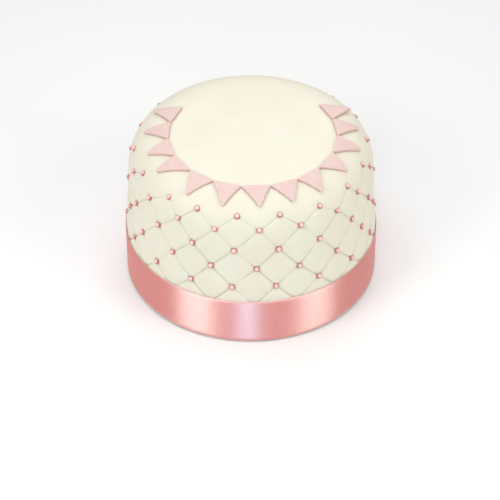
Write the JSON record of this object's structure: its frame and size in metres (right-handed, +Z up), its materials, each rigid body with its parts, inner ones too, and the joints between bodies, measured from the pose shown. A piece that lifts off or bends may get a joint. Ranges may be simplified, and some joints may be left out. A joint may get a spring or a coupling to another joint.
{
  "type": "birthday cake",
  "caption": "Round iced birthday cake with a quilted side, sugar pearls, an arc of icing pennants on top and a satin ribbon round the foot.",
  "frame": {"origin": "middle of the flat base, on the surface that the cake stands on", "axes": "+Z up out of the top of the cake; -Y is the front, where the arc of pennants is complete; +X is to the right as seen from the front"},
  "size_m": [0.2, 0.2, 0.1314],
  "materials": {
    "cream_icing": "cream rolled icing, smooth and satin-matt, embossed with a diamond quilt",
    "pink_icing": "pale pink rolled icing, matt, finely grained, with clean cut edges",
    "sugar_pearl": "pink sugar pearl with a soft pearly shine",
    "pink_satin": "satin ribbon, pink with a peach sheen, fine threads across its length"
  },
  "bodies": {
    "root": {"cake_body": "cream_icing", "flag_01": "pink_icing", "flag_02": "pink_icing", "flag_03": "pink_icing", "flag_04": "pink_icing", "flag_05": "pink_icing", "flag_06": "pink_icing", "flag_07": "pink_icing", "flag_08": "pink_icing", "flag_09": "pink_icing", "flag_10": "pink_icing", "flag_11": "pink_icing", "flag_12": "pink_icing", "flag_13": "pink_icing", "ribbon": "pink_satin"}
  },
  "joints": []
}
